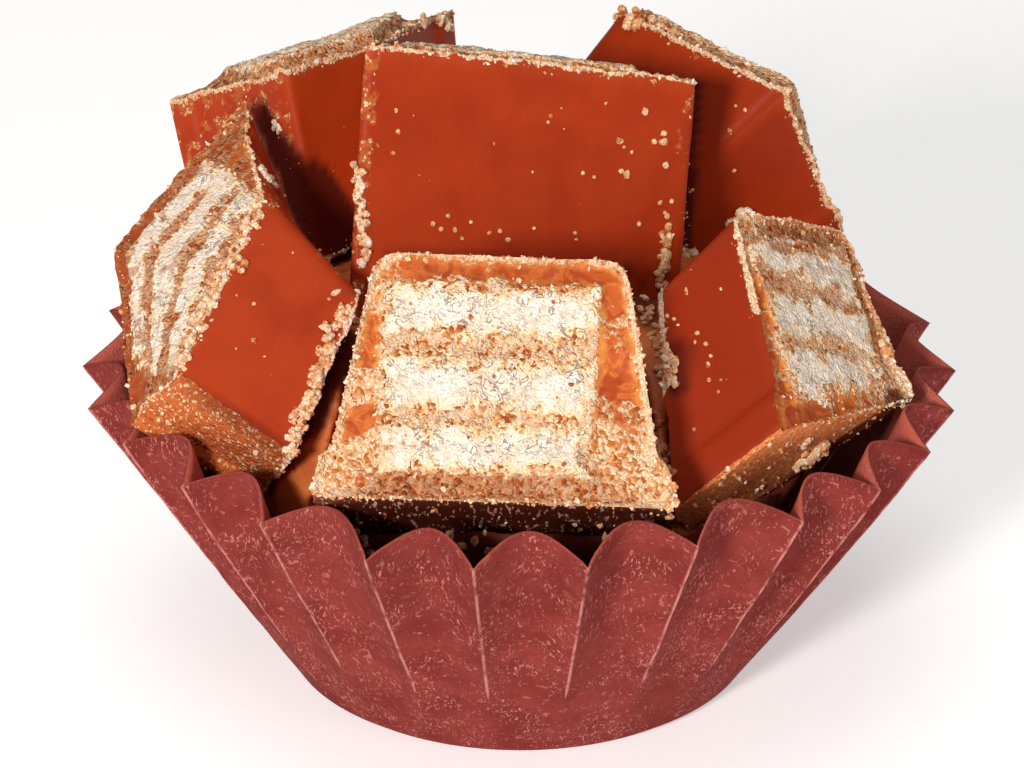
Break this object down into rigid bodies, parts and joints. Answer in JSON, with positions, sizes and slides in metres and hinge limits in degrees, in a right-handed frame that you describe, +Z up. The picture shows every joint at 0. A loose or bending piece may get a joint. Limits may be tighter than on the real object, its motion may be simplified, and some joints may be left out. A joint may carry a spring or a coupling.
{
  "type": "brigadeiro",
  "caption": "Round chocolate brigadeiro in a fluted maroon paper case, its top covered with broken chunks of chocolate-coated wafer finger, with pale wafer and cream layers at the cut ends.",
  "frame": {"origin": "middle of the flat base of the paper case, at the height of the surface it stands on", "axes": "+Z up, the pictured front towards -Y, +X to the right in the picture"},
  "size_m": [0.0426, 0.0413, 0.0304],
  "materials": {
    "paper_case": "matte fluted greaseproof paper, maroon",
    "brigadeiro": "soft cooked chocolate fudge, satin brown",
    "coating": "milk chocolate, satin with a soft sheen, crumbly where cut",
    "wafer": "dry baked wafer, pale and porous",
    "cream": "light cocoa cream filling, matt and grainy"
  },
  "bodies": {
    "root": {"paper_case": "paper_case", "brigadeiro": "brigadeiro", "front_coating": "coating", "front_wafer_low": "wafer", "front_cream_low": "cream", "front_wafer_middle": "wafer", "front_cream_high": "cream", "front_wafer_high": "wafer", "centre_coating": "coating", "centre_wafer_low": "wafer", "centre_cream_low": "cream", "centre_wafer_middle": "wafer", "centre_cream_high": "cream", "centre_wafer_high": "wafer", "left_coating": "coating", "left_wafer_low": "wafer", "left_cream_low": "cream", "left_wafer_middle": "wafer", "left_cream_high": "cream", "left_wafer_high": "wafer", "right_coating": "coating", "right_wafer_low": "wafer", "right_cream_low": "cream", "right_wafer_middle": "wafer", "right_cream_high": "cream", "right_wafer_high": "wafer", "back_left_coating": "coating", "back_left_wafer_low": "wafer", "back_left_cream_low": "cream", "back_left_wafer_middle": "wafer", "back_left_cream_high": "cream", "back_left_wafer_high": "wafer", "back_right_coating": "coating", "back_right_wafer_low": "wafer", "back_right_cream_low": "cream", "back_right_wafer_middle": "wafer", "back_right_cream_high": "cream", "back_right_wafer_high": "wafer"}
  },
  "joints": []
}
